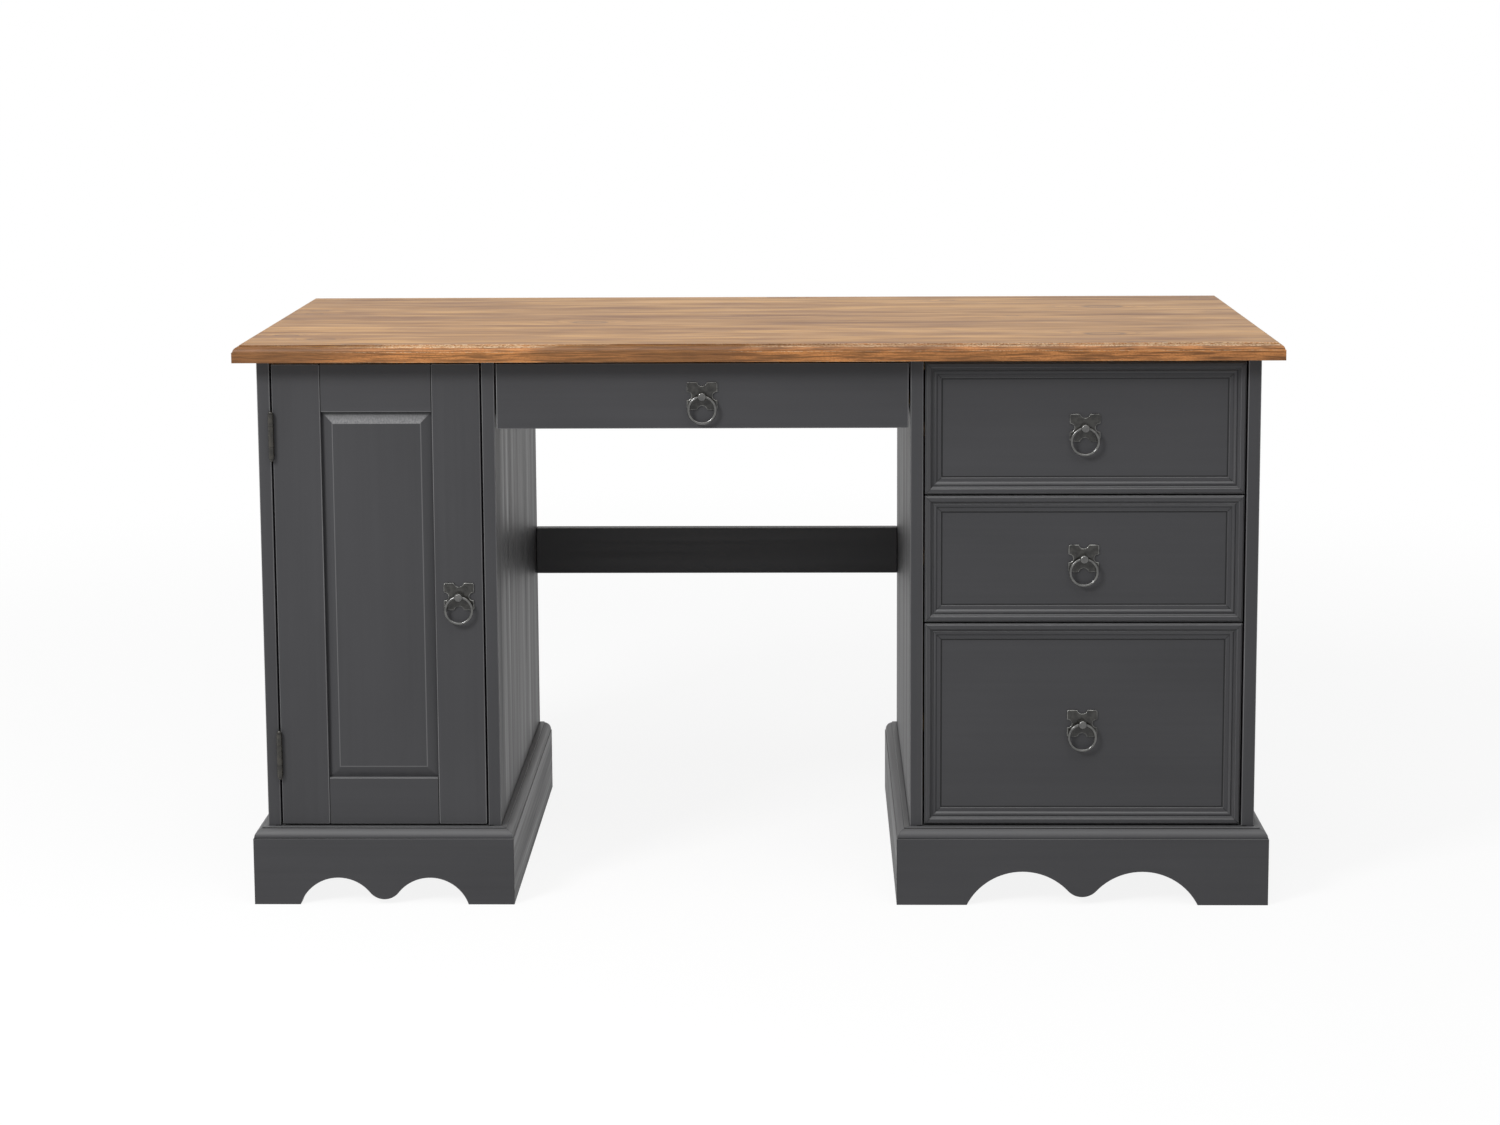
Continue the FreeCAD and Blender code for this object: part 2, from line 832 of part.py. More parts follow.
def drawer_box(name, left, right, bottom, top):
    """Two sides and a back as one group, and the bottom; left and right are the box's outer faces."""
    low, high = box_span(bottom, top)
    floor_low = low + size.bottom_lift
    floor_high = floor_low + size.drawer_bottom_board
    back_low = (left + size.drawer_board, box_rear - size.drawer_board, floor_high)
    back = board(back_low, (right - size.drawer_board, box_rear, high))
    keep(f"{name}_box", drawer_side(left, 1, bottom, top), drawer_side(right, -1, bottom, top), back)
    into_side = size.drawer_board - size.bottom_groove_depth + size.bottom_play
    into_front = size.bottom_groove_depth - size.bottom_play
    floor_corner = (left + into_side, box_front - into_front, floor_low)
    keep(f"{name}_bottom", board(floor_corner, (right - into_side, box_rear, floor_high)))


def drawer_runners(left, right, bottom, top):
    """The pair of runners for a drawer between two carcass faces."""
    low, high = runner_span(bottom, top)
    near = box_front + size.runner_setback
    far = box_rear + size.runner_setback
    reach = size.drawer_side_gap + size.runner_groove_depth - size.runner_play
    return [
        board((left, near, low), (left + reach, far, high)),
        board((right - reach, near, low), (right, far, high)),
    ]


def moulding_section():
    """Rounded edge, flat band, quirk, bead, cove and fillet, from the outer edge inwards."""
    top = size.moulding_thickness
    shoulder = top - size.moulding_band_round
    bead_foot = shoulder - size.moulding_quirk
    bead_start = size.moulding_band + size.moulding_band_round
    bead_end = bead_start + size.moulding_bead
    fillet_round = size.moulding_fillet_round
    return [
        (0, 0),
        (-top + size.moulding_round, 0, size.moulding_round, 1),
        (-top, size.moulding_round),
        (-top, size.moulding_band, size.moulding_band_round, 1),
        (-shoulder, bead_start),
        (-bead_foot, bead_start, size.moulding_bead * BEAD_RADIUS_SHARE, 1),
        (-bead_foot, bead_end),
        (-bead_foot + size.moulding_bead_quirk, bead_end, size.moulding_cove_radius, -1),
        (-size.moulding_fillet, bead_end + size.moulding_cove),
        (-size.moulding_fillet, size.moulding_width - fillet_round, fillet_round, 1),
        (-size.moulding_fillet + fillet_round, size.moulding_width),
        (0, size.moulding_width),
    ]


def moulding_strip(place, length, angle):
    strip = new_body(place, Y_AXIS, angle)
    extrude(strip, "X", moulding_section(), length, both_ways=True)
    mitre = mitre_waste(length, size.moulding_width)
    cut_through(strip, "Y", mitre, mirrored(mitre, -1))
    return strip


def drawer_moulding(name, left, right, bottom, top, face):
    across = (left + right) / 2
    up = (bottom + top) / 2
    keep(
        f"{name}_moulding",
        moulding_strip((across, face, bottom), right - left, 0),
        moulding_strip((right, face, up), top - bottom, -QUARTER_TURN),
        moulding_strip((across, face, top), right - left, HALF_TURN),
        moulding_strip((left, face, up), top - bottom, QUARTER_TURN),
    )


def drawer(name, left, right, bottom, top, moulded):
    """A whole drawer between two carcass faces, and the runners it slides on."""
    front_left = left + size.reveal
    front_right = right - size.reveal
    face = front_plane + size.moulding_thickness if moulded else front_plane
    drawer_front(name, front_left, front_right, bottom, top, face)
    if moulded:
        drawer_moulding(name, front_left, front_right, bottom, top, face)
    drawer_box(name, left + size.drawer_side_gap, right - size.drawer_side_gap, bottom, top)
    return drawer_runners(left, right, bottom, top)


# The door

def door_stile(label, outer_edge, side, pull_up=None):
    stile = new_body((outer_edge, front_plane, fronts_bottom))
    groove_far = size.door_groove_setback + size.door_groove_width
    groove_end = size.door_member - size.door_groove_depth
    plan = [
        (0, 0),
        (size.door_member, 0),
        (size.door_member, size.door_groove_setback),
        (groove_end, size.door_groove_setback),
        (groove_end, groove_far),
        (size.door_member, groove_far),
        (size.door_member, size.door_thickness),
        (0, size.door_thickness),
    ]
    extrude(stile, "Z", mirrored(plan, side), fronts_top - fronts_bottom)
    if pull_up is not None:
        hole = size.pull_stud + size.pull_stud_fit * 2
        middle = size.door_member / 2 if side > 0 else -size.door_member / 2
        drill_through(stile, "Y", hole, (middle, pull_up - fronts_bottom))
    keep(label, stile)


def door_rail(label, outer_edge, side, across, opening):
    """A rail with a tongue at each end; side is 1 for the bottom rail and -1 for the top rail."""
    rail = new_body((across, front_plane, outer_edge))
    groove_far = size.door_groove_setback + size.door_groove_width
    groove_end = size.door_member - size.door_groove_depth
    section = [
        (0, 0),
        (size.door_thickness, 0),
        (size.door_thickness, size.door_member),
        (groove_far, size.door_member),
        (groove_far, groove_end),
        (size.door_groove_setback, groove_end),
        (size.door_groove_setback, size.door_member),
        (0, size.door_member),
    ]
    extrude(rail, "X", upright(section, side), opening, both_ways=True)
    near = size.door_groove_setback + size.panel_clearance
    far = groove_far - size.panel_clearance
    tongue = rectangle(near, 0, far, groove_end)
    length = opening + (size.door_groove_depth - size.tongue_play) * 2
    extrude(rail, "X", upright(tongue, side), length, both_ways=True)
    keep(label, rail)


def upright(outline, side):
    """The outline itself for side 1, or its mirror image top to bottom for side -1."""
    if side > 0:
        return outline
    return [(across, -up if isinstance(up, Size) else up) for across, up in outline]


def door_panel(across, up, opening_width, opening_height):
    """A raised panel: a thin margin in the grooves, a wide bevel and a flat field."""
    margin_front = front_plane + size.door_groove_setback + size.panel_clearance
    panel = new_body((across, margin_front, up))
    into_groove = size.door_groove_depth - size.panel_play
    half_width = opening_width / 2 + into_groove
    half_height = opening_height / 2 + into_groove
    margin = size.door_groove_width - size.panel_clearance * 2
    extrude(panel, "Y", rectangle(-half_width, -half_height, half_width, half_height), margin)
    rise = size.door_groove_setback + size.panel_clearance - size.panel_field_setback
    foot = rectangle_sketch(panel, opening_width - size.panel_clearance * 2,
                            opening_height - size.panel_clearance * 2, 0)
    field = rectangle_sketch(panel, opening_width - size.panel_bevel * 2,
                             opening_height - size.panel_bevel * 2, -rise)
    bevel = panel.newObject("PartDesign::AdditiveLoft", "bevel")
    bevel.Profile = foot
    bevel.Sections = [field]
    bevel.Ruled = True
    keep("door_panel", panel)


def rectangle_sketch(body, width, height, start):
    sketch = sketch_across(body, "Y", start)
    draw(sketch, rectangle(-width / 2, -height / 2, width / 2, height / 2))
    return sketch


def door():
    left, right = inside_faces("cupboard")
    left = left + size.reveal
    right = right - size.reveal
    across = (left + right) / 2
    up = (fronts_bottom + fronts_top) / 2
    opening_width = right - left - size.door_member * 2
    opening_height = fronts_top - fronts_bottom - size.door_member * 2
    door_stile("door_hinge_stile", left, 1)
    door_stile("door_lock_stile", right, -1, up)
    door_rail("door_bottom_rail", fronts_bottom, 1, across, opening_width)
    door_rail("door_top_rail", fronts_top, -1, across, opening_width)
    door_panel(across, up, opening_width, opening_height)
    ring_pull("door", right - size.door_member / 2, up, front_plane, size.door_thickness)


# The hinges

def hinge_places():
    """Foot of each hinge on the axis of the door."""
    across = inside_faces("cupboard")[0] + size.reveal / 2
    axis = front_plane - size.hinge_barrel_gap - size.hinge_barrel_diameter / 2
    return [
        (across, axis, fronts_bottom + size.hinge_end_distance),
        (across, axis, fronts_top - size.hinge_end_distance - size.hinge_length),
    ]


def hinge_leaf(place, side, knuckles):
    """A leaf with its knuckles, each given by its foot and length; side is -1 on the frame, 1 on the door."""
    leaf = new_body(place)
    outer = size.reveal / 2
    inner = outer - size.hinge_leaf_thickness
    plate_start = size.hinge_barrel_diameter / 2 + size.hinge_barrel_gap
    plate = rectangle(inner, plate_start, outer, plate_start + size.hinge_leaf_depth)
    extrude(leaf, "Z", mirrored(plate, side), size.hinge_length)
    tab = rectangle(inner, 0, outer, plate_start)
    for foot, length in knuckles:
        extrude(leaf, "Z", mirrored(tab, side), length, foot)
        extrude_round(leaf, "Z", (0, 0), size.hinge_barrel_diameter, length, foot)
    drill_through(leaf, "Z", size.hinge_pin + size.hinge_pin_fit * 2, (0, 0))
    return leaf


def hinge_pin(place):
    """A pin with a rounded finial at each end."""
    pin = size.hinge_pin / 2
    finial = size.finial_diameter / 2
    low = -size.hinge_knuckle_gap
    high = size.hinge_length + size.hinge_knuckle_gap
    neck = size.finial_neck
    profile = [
        (0, low - neck - finial, finial, 1),
        (finial, low - neck),
        (finial, low),
        (pin, low),
        (pin, high),
        (finial, high),
        (finial, high + neck, finial, 1),
        (0, high + neck + finial),
    ]
    return turn_solid(place, profile)


def hinges():
    outer = size.hinge_outer_knuckle
    gap = size.hinge_knuckle_gap
    frame_knuckles = [(0, outer), (size.hinge_length - outer, outer)]
    door_knuckles = [(outer + gap, size.hinge_length - (outer + gap) * 2)]
    keep("hinge_frame_leaves", *[hinge_leaf(place, -1, frame_knuckles) for place in hinge_places()])
    keep("hinge_door_leaves", *[hinge_leaf(place, 1, door_knuckles) for place in hinge_places()])
    keep("hinge_pins", *[hinge_pin(place) for place in hinge_places()])


# The catch

def door_catch():
    """A catch case under the front rail of the cupboard, and its plate on the back of the door."""
    across = inside_faces("cupboard")[1] - size.catch_inset
    door_back = front_plane + size.door_thickness
    case = new_body((across, door_back + size.catch_plate_thickness + size.catch_gap, rail_underside))
    half = size.catch_length / 2
    half_case = size.catch_case_length / 2
    outline = [
        (-half, 0),
        (-half, -size.catch_ear),
        (-half_case, -size.catch_ear),
        (-half_case, -size.catch_height),
        (half_case, -size.catch_height),
        (half_case, -size.catch_ear),
        (half, -size.catch_ear),
        (half, 0),
    ]
    extrude(case, "Y", outline, size.catch_depth)
    keep("door_catch", case)
    plate = new_body((across, door_back, rail_underside - size.catch_height / 2))
    radius = size.catch_plate_height / 2
    straight = size.catch_plate_length / 2 - radius
    slot = [
        (-straight, -radius),
        (straight, -radius, radius, 1),
        (straight + radius, 0, radius, 1),
        (straight, radius),
        (-straight, radius, radius, 1),
        (-straight - radius, 0, radius, 1),
    ]
    extrude(plate, "Y", slot, size.catch_plate_thickness)
    keep("catch_plate", plate)


# All the pieces, from the top down
top_panel()
keep("top_rails", *[top_rail(span) for span in rail_spans()])
keep("top_screws", *[top_screw(place) for place in screw_places()])
pedestal_side("cupboard_outer_side", cupboard_left, 1, pin_rows())
pedestal_side("cupboard_inner_side", cupboard_right, -1, pin_rows())
pedestal_side("drawer_unit_inner_side", drawer_unit_left, 1)
pedestal_side("drawer_unit_outer_side", drawer_unit_right, -1)
for pedestal_name in PEDESTALS:
    pedestal_boards(pedestal_name)
    plinth_sides(pedestal_name)
plinth_front("cupboard", size.cupboard_foot, size.cupboard_arch_rise, size.cupboard_drop_gap)
plinth_front("drawer_unit", size.drawer_unit_foot, size.drawer_unit_arch_rise, size.drawer_unit_drop_gap)
rear_stretcher()
shelf()
shelf_pins()
door()
hinges()
door_catch()

# The drawers, the three of the right pedestal from the top down
upper_bottom = fronts_top - size.upper_front_height
middle_top = upper_bottom - size.reveal
middle_bottom = middle_top - size.middle_front_height
lower_top = middle_bottom - size.reveal
unit_faces = inside_faces("drawer_unit")
runners = drawer("upper_drawer", *unit_faces, upper_bottom, fronts_top, True)
runners += drawer("middle_drawer", *unit_faces, middle_bottom, middle_top, True)
runners += drawer("lower_drawer", *unit_faces, fronts_bottom, lower_top, True)
pencil_bottom = fronts_top - size.pencil_front_height
runners += drawer("pencil_drawer", cupboard_right, drawer_unit_left, pencil_bottom, fronts_top, False)
keep("drawer_runners", *runners)

# Every piece is checked before any file is written
doc.recompute()
for thing in doc.Objects:
    if "Invalid" in thing.State or "Error" in thing.State:
        raise RuntimeError(f"{thing.Label} could not be made")
for node in nodes:
    if node.Shape.isNull() or not node.Shape.isValid():
        raise RuntimeError(f"{node.Label} has no valid shape")
os.makedirs("parts", exist_ok=True)
for node in nodes:
    node.Shape.exportStep(f"parts/{node.Label}.step")
print(len(nodes), "pieces written")
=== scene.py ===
import json
import math

import bmesh
import bpy
from mathutils import Matrix, Vector
from mathutils.bvhtree import BVHTree


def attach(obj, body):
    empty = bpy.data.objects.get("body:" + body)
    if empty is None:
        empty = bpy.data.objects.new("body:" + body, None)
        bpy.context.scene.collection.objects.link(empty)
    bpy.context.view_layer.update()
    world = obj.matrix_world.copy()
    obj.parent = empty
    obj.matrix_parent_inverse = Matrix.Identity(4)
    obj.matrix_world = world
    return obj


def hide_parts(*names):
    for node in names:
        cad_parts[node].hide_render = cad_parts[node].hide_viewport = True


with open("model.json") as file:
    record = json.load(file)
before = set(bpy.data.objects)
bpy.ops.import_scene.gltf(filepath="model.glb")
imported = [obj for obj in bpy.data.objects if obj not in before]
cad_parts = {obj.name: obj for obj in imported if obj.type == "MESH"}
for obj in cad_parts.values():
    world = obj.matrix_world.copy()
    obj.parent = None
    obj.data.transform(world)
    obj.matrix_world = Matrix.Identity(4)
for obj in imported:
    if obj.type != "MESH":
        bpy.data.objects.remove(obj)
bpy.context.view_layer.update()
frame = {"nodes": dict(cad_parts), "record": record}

# A painted pine desk with a stained top. Lengths are in metres, in the frame of the model:
# X to the right, Y to the back and Z up.

MM = 0.001

# The camera of the photograph
IMAGE_WIDTH_PX = 1500
SENSOR_WIDTH_MM = 36
CAMERA_PLACE = (0.0663, -3.9891, 1.2065)
CAMERA_YAW = -0.0204
CAMERA_PITCH = 0.1285
CAMERA_ROLL = -0.0053
CAMERA_SHIFT = -0.13
FOCAL_LENGTH_PX = 2844.3

# The room: a floor that turns whiter away from the desk, a white world and two soft lamps
FLOOR_REACH = 40
FLOOR_GREY = (0.9, 0.9, 0.9)
FLOOR_WHITENS = (1.2, 3.2)
FLOOR_WHITENESS = (0.88, 1.0)
WORLD_LEVEL = (0.35, 1.0)
WHITE = (1, 1, 1)
KEY_PLACE, KEY_AIM, KEY_WIDTH, KEY_POWER = (-2.2, -2.6, 2.7), (0, 0, 0.4), 1.0, 108
TOP_PLACE, TOP_AIM, TOP_WIDTH, TOP_POWER = (0.3, -1.5, 3.2), (0, 0, 0.5), 2.4, 48

# How the edges of the wooden pieces and of the pulls' plates are eased
EDGE_SEGMENTS = 2
EDGE_ROUNDNESS = 0.5
BOARD_EASE = 1.1 * MM
MOULDED_EASE = 0.35 * MM
PLATE_EASE = 0.7 * MM
SHORTEST_EASED_EDGE = 2 * MM
SHORTEST_PLATE_EDGE = 0.2 * MM
EASED_ANGLE = math.radians(40)
SHARP_ANGLE = math.radians(50)
FLAT_ANGLE = math.radians(0.3)
WELD_DIGITS = 6
# A rounded edge this close to another board lies where the boards meet, and takes painted shade there
JOINT_REACH = 1.7 * MM
# Narrow faces count as a moulding's relief: painted highlight where they curve out, painted shade where
# they turn in
NARROW = 2 * MM
THINNEST = 0.01 * MM
TURNED_IN = math.radians(-35)
GENTLE_CURVE, TIGHT_CURVE = 150, 450
# The strips on the drawer fronts, and the line of painted shade along their inner edge
STRIP_WIDTH = 22 * MM
SHADE_LINE_WIDTH = 1.5 * MM
SHADE_LINE_DEPTH = 0.75
# The top's moulded edge: its faces slope more than this, and its lip, where highlights are painted,
# reaches this deep
FLAT_SLOPE = 0.98
LIP_DEPTH = 4 * MM
# Steps from one board's grain to the next, so that no two boards are cut from the same place
SEED_STEP = Vector((0.371, 0.173, 0.097))
GOLDEN_SHARE = 0.618034

# Axes by their number: the two that span a front, and the upright one
ACROSS_FRONT = (0, 2)
UPRIGHT = 2
# What a dressed piece tells its material about each point, each face and the faces of the top's edge
POINT_VALUES = ("tone", "rise")
FACE_VALUES = ("wear_and_highlight", "crease_shade", "end_grain")
EDGE_VALUES = ("rim", "lip")
WOOD_SLOTS = ("stained_pine", "grey_paint", "bare_pine", "plywood")


# Pieces

def solids_of(mesh):
    """The triangles of each closed solid of a mesh, which lie there one solid after another."""
    solids = []
    current = []
    open_edges = set()
    for polygon in mesh.polygons:
        corners = [tuple(round(x, WELD_DIGITS) for x in mesh.vertices[i].co) for i in polygon.vertices]
        if len(set(corners)) < len(corners):
            continue
        current.append(corners)
        for start, end in zip(corners, corners[1:] + corners[:1]):
            if (end, start) in open_edges:
                open_edges.remove((end, start))
            else:
                open_edges.add((start, end))
        if not open_edges:
            solids.append(current)
            current = []
    if current:
        solids.append(current)
    return solids


def eased_solid(triangles, ease, shortest):
    """A solid with undivided flat faces and rounded edges, and the set of its rounded faces."""
    solid = bmesh.new()
    points = {}
    for corners in triangles:
        for corner in corners:
            if corner not in points:
                points[corner] = solid.verts.new(corner)
        try:
            solid.faces.new([points[corner] for corner in corners])
        except ValueError:
            continue
    bmesh.ops.dissolve_limit(solid, angle_limit=FLAT_ANGLE, verts=solid.verts, edges=solid.edges)
    sharp = [
        edge for edge in solid.edges
        if edge.is_manifold and edge.is_convex
        and edge.calc_face_angle(0) > EASED_ANGLE
        and edge.calc_length() > shortest
    ]
    made = bmesh.ops.bevel(
        solid, geom=sharp, offset=ease, offset_type="OFFSET", segments=EDGE_SEGMENTS,
        profile=EDGE_ROUNDNESS, affect="EDGES", clamp_overlap=False,
    )
    return solid, set(made["faces"])


def relief(face):
    """How much painted highlight and how much painted shade a face gets, from 0 to 1, by how it turns
    towards its neighbours.
    """
    longest = max(edge.calc_length() for edge in face.edges)
    width = face.calc_area() / max(longest, THINNEST)
    if width > NARROW:
        return 0.0, 0.0
    turns = [
        edge.calc_face_angle_signed(0) for edge in face.edges
        if edge.is_manifold and edge.calc_length() > longest / 2
    ]
    if min(turns, default=0) < TURNED_IN:
        return 0.0, 1.0
    curve = min(turns, default=0) / max(width, THINNEST)
    return min(max((curve - GENTLE_CURVE) / (TIGHT_CURVE - GENTLE_CURVE), 0.0), 1.0), 0.0


def painted_shade_line(shape, board):
    """Divides a drawer front along its moulding and gives the faces of a line beside the strips, which
    takes painted shade.
    """
    insets = (STRIP_WIDTH, STRIP_WIDTH + SHADE_LINE_WIDTH)
    for axis in ACROSS_FRONT:
        for inset in insets:
            for place in (board.low[axis] + inset, board.high[axis] - inset):
                across = Vector(float(index == axis) for index in range(3))
                everything = shape.verts[:] + shape.edges[:] + shape.faces[:]
                bmesh.ops.bisect_plane(shape, geom=everything, plane_co=across * place, plane_no=across)
    line = set()
    for face in shape.faces:
        centre = face.calc_center_bounds()
        depth = min(
            min(centre[axis] - board.low[axis], board.high[axis] - centre[axis]) for axis in ACROSS_FRONT
        )
        if face.normal.y < -FLAT_SLOPE and insets[0] < depth < insets[1]:
            line.add(face)
    return line


class Solid:
    """One closed solid of a node: its triangles, its box and a tree to search its surface by."""

    def __init__(self, triangles):
        self.triangles = triangles
        corners = [Vector(corner) for corners in triangles for corner in corners]
        self.low = Vector(map(min, *corners))
        self.high = Vector(map(max, *corners))
        self.tree = BVHTree.FromPolygons(corners, [(i, i + 1, i + 2) for i in range(0, len(corners), 3)])

    def meets(self, other):
        """Whether the boxes of two boards come close enough for the boards to meet."""
        return all(
            self.low[axis] - JOINT_REACH < other.high[axis]
            and other.low[axis] - JOINT_REACH < self.high[axis]
            for axis in range(3)
        )

    def axes(self):
        """Axes of a board as (along the grain, across it, through the board)."""
        spans = self.high - self.low
        return sorted(range(3), key=lambda axis: -spans[axis])


def dress_board(board, framed, ease, shortest, piece):
    """Adds one board, with eased edges, to the points, faces and values of a piece."""
    neighbours = [other for other in boards if other is not board and board.meets(other)]
    shape, rounded = eased_solid(board.triangles, ease, shortest)
    painted_shade_faces = painted_shade_line(shape, board) if framed else set()
    shape.verts.index_update()
    shape.normal_update()
    corners = [vertex.co.copy() for vertex in shape.verts]
    axes = board.axes()
    length, depth = axes[0], axes[2]
    middle = (board.low + board.high) / 2
    number = boards.index(board)
    seed = SEED_STEP * (1 + number)
    first = len(piece["points"])
    piece["points"] += corners
    for corner in corners:
        piece["grain"].extend(seed + Vector([(corner - middle)[axis] for axis in axes]))
        piece["tone"].append(number * GOLDEN_SHARE % 1)
        piece["rise"].append((corner - board.low)[depth] / (board.high - board.low)[depth])
    for face in shape.faces:
        centre = face.calc_center_median()
        # Rounded faces where boards meet take painted shade; other rounded faces take wear and painted
        # highlights
        crease_shade = face in rounded and any(
            other.tree.find_nearest(centre, JOINT_REACH)[0] is not None for other in neighbours
        )
        # Narrow ridges of a moulding take painted highlights and narrow hollows painted shade
        rubbed_and_lit, hollow = (0.0, 0.0) if face in rounded else relief(face)
        piece["faces"].append([first + vertex.index for vertex in face.verts])
        piece["wear_and_highlight"].append(max(rubbed_and_lit, float(face in rounded and not crease_shade)))
        # The line beside a drawer front's strips takes painted shade too
        piece["crease_shade"].append(max(hollow, float(crease_shade), SHADE_LINE_DEPTH * (face in painted_shade_faces)))
        # On upright boards only the end grain that looks up counts, so the pale dry paint, partly a
        # painted highlight, lies only where light falls from above
        endwise = face.normal[length]
        piece["end_grain"].append(max(endwise, 0.0) if length == UPRIGHT else abs(endwise))
    shape.free()


def write_values(mesh, domain, piece, names):
    """Writes the named values of a piece, one to each point or face."""
    for name in names:
        mesh.attributes.new(name, "FLOAT", domain).data.foreach_set("value", piece[name])


def write_moulded_edge(mesh, height):
    """Marks the sloping faces of the top's edge, and those of its upper lip."""
    sloping = [abs(polygon.normal.z) < FLAT_SLOPE for polygon in mesh.polygons]
    high = [polygon.center.z > height - LIP_DEPTH for polygon in mesh.polygons]
    edge = {
        "rim": [float(slopes) for slopes in sloping],
        "lip": [float(slopes and rises) for slopes, rises in zip(sloping, high)],
    }
    write_values(mesh, "FACE", edge, EDGE_VALUES)


def dressed(node, material, ease, shortest=SHORTEST_EASED_EDGE):
    """A piece in the shape of a node, with eased edges and with the grain of each of its boards."""
    framed = node.endswith("_front") and f"{node.removesuffix('_front')}_moulding" in boards_of_node
    values = {name: [] for name in ("points", "faces", "grain", *POINT_VALUES, *FACE_VALUES)}
    for board in boards_of_node[node]:
        dress_board(board, framed, ease, shortest, values)
    mesh = bpy.data.meshes.new(f"{node}_finish")
    mesh.from_pydata(values["points"], [], values["faces"])
    mesh.attributes.new("grain", "FLOAT_VECTOR", "POINT").data.foreach_set("vector", values["grain"])
    write_values(mesh, "POINT", values, POINT_VALUES)
    write_values(mesh, "FACE", values, FACE_VALUES)
    if node == "top_panel":
        write_moulded_edge(mesh, boards_of_node[node][0].high.z)
    mesh.shade_smooth()
    mesh.set_sharp_from_angle(angle=SHARP_ANGLE)
    mesh.materials.append(material)
    piece = bpy.data.objects.new(f"{node}_finish", mesh)
    bpy.context.scene.collection.objects.link(piece)
    normals = piece.modifiers.new("normals", "WEIGHTED_NORMAL")
    normals.keep_sharp = True
    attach(piece, body_of_node[node])
    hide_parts(node)


# Materials

FULL = (0.0, 1.0)
FALLING = (1.0, 0.0)
# Nearly all of a noise, its middle part and its middle
MOST = (0.3, 0.7)
CORE = (0.35, 0.65)
MIDDLE = 0.5
# The sockets of a mix of colours
MIX_SHARE, MIX_FIRST, MIX_SECOND, MIX_RESULT = 0, 6, 7, 2


def rgba(colour):
    return (*colour, 1.0)


def deeper(share, colour):
    return tuple(share * part for part in colour)


class Graph:
    """The nodes of a material or a world, made by calls that each give the socket they end in."""

    def __init__(self, owner):
        self.owner = owner
        owner.use_nodes = True
        self.tree = owner.node_tree
        self.tree.nodes.clear()

    def add(self, kind, inputs=(), **settings):
        node = self.tree.nodes.new(kind)
        for name, value in settings.items():
            setattr(node, name, value)
        for key, value in dict(inputs).items():
            self.feed(node.inputs[key], value)
        return node

    def feed(self, socket, value):
        if isinstance(value, bpy.types.NodeSocket):
            self.tree.links.new(value, socket)
        else:
            socket.default_value = value

    def vector(self, name):
        return self.add("ShaderNodeAttribute", attribute_name=name).outputs["Vector"]

    def number(self, name):
        return self.add("ShaderNodeAttribute", attribute_name=name).outputs["Fac"]

    def place(self):
        return self.add("ShaderNodeTexCoord").outputs["Object"]

    def math(self, operation, *values):
        return self.add("ShaderNodeMath", dict(enumerate(values)), operation=operation).outputs[0]

    def plus(self, first, second):
        return self.math("ADD", first, second)

    def minus(self, first, second):
        return self.math("SUBTRACT", first, second)

    def times(self, first, second):
        return self.math("MULTIPLY", first, second)

    def larger(self, first, second):
        return self.math("MAXIMUM", first, second)

    def total(self, *weighted):
        """The sum of values, each times its share."""
        products = [self.times(value, share) for value, share in weighted]
        result = products[0]
        for product in products[1:]:
            result = self.plus(result, product)
        return result

    def stretch(self, vector, scale):
        return self.add("ShaderNodeVectorMath", {0: vector, 1: scale}, operation="MULTIPLY").outputs[0]

    def length(self, vector):
        return self.add("ShaderNodeVectorMath", {0: vector}, operation="LENGTH").outputs["Value"]

    def parts(self, vector):
        return self.add("ShaderNodeSeparateXYZ", {0: vector}).outputs

    def joined(self, x, y, z):
        return self.add("ShaderNodeCombineXYZ", {0: x, 1: y, 2: z}).outputs[0]

    def noise(self, vector, scale=1.0, detail=2.0, roughness=0.5, distortion=0.0):
        inputs = {"Vector": vector, "Scale": scale, "Detail": detail, "Roughness": roughness,
                  "Distortion": distortion}
        return self.add("ShaderNodeTexNoise", inputs).outputs[0]

    def fibres(self, vector, along, across, **settings):
        """A noise drawn out along the grain, by its marks to the metre along and across."""
        return self.noise(self.stretch(vector, (along, across, across)), **settings)

    def dice(self, vector):
        return self.add("ShaderNodeTexWhiteNoise", {"Vector": vector}).outputs["Color"]

    def between(self, value, span, result=FULL, smooth=False):
        """A value's way through a span, as a way through the result, which isn't left at either end."""
        kind = "SMOOTHSTEP" if smooth else "LINEAR"
        inputs = {"Value": value, "From Min": span[0], "From Max": span[1],
                  "To Min": result[0], "To Max": result[1]}
        return self.add("ShaderNodeMapRange", inputs, interpolation_type=kind).outputs[0]

    def mix(self, share, first, second):
        node = self.add("ShaderNodeMix", data_type="RGBA")
        for index, value in ((MIX_SHARE, share), (MIX_FIRST, first), (MIX_SECOND, second)):
            plain = isinstance(value, (float, bpy.types.NodeSocket))
            self.feed(node.inputs[index], value if plain else rgba(value))
        return node.outputs[MIX_RESULT]

    def bump(self, height, distance):
        inputs = {"Height": height, "Distance": distance, "Strength": 1.0}
        return self.add("ShaderNodeBump", inputs).outputs[0]

    def seen(self):
        """1 for what the camera sees, also in a mirror or through glass, and 0 for light."""
        path = self.add("ShaderNodeLightPath").outputs
        mirrored = self.larger(path["Is Glossy Ray"], path["Is Transmission Ray"])
        return self.larger(path["Is Camera Ray"], mirrored)

    def end(self, kind, surface):
        output = self.add(kind)
        self.tree.links.new(surface.outputs[0], output.inputs["Surface"])
        return self.owner

    def finish(self, **inputs):
        """Ends in a surface shader whose inputs are named with underscores for spaces."""
        named = {name.replace("_", " "): value for name, value in inputs.items()}
        return self.end("ShaderNodeOutputMaterial", self.add("ShaderNodeBsdfPrincipled", named))


def material_graph(name):
    return Graph(bpy.data.materials.new(name))
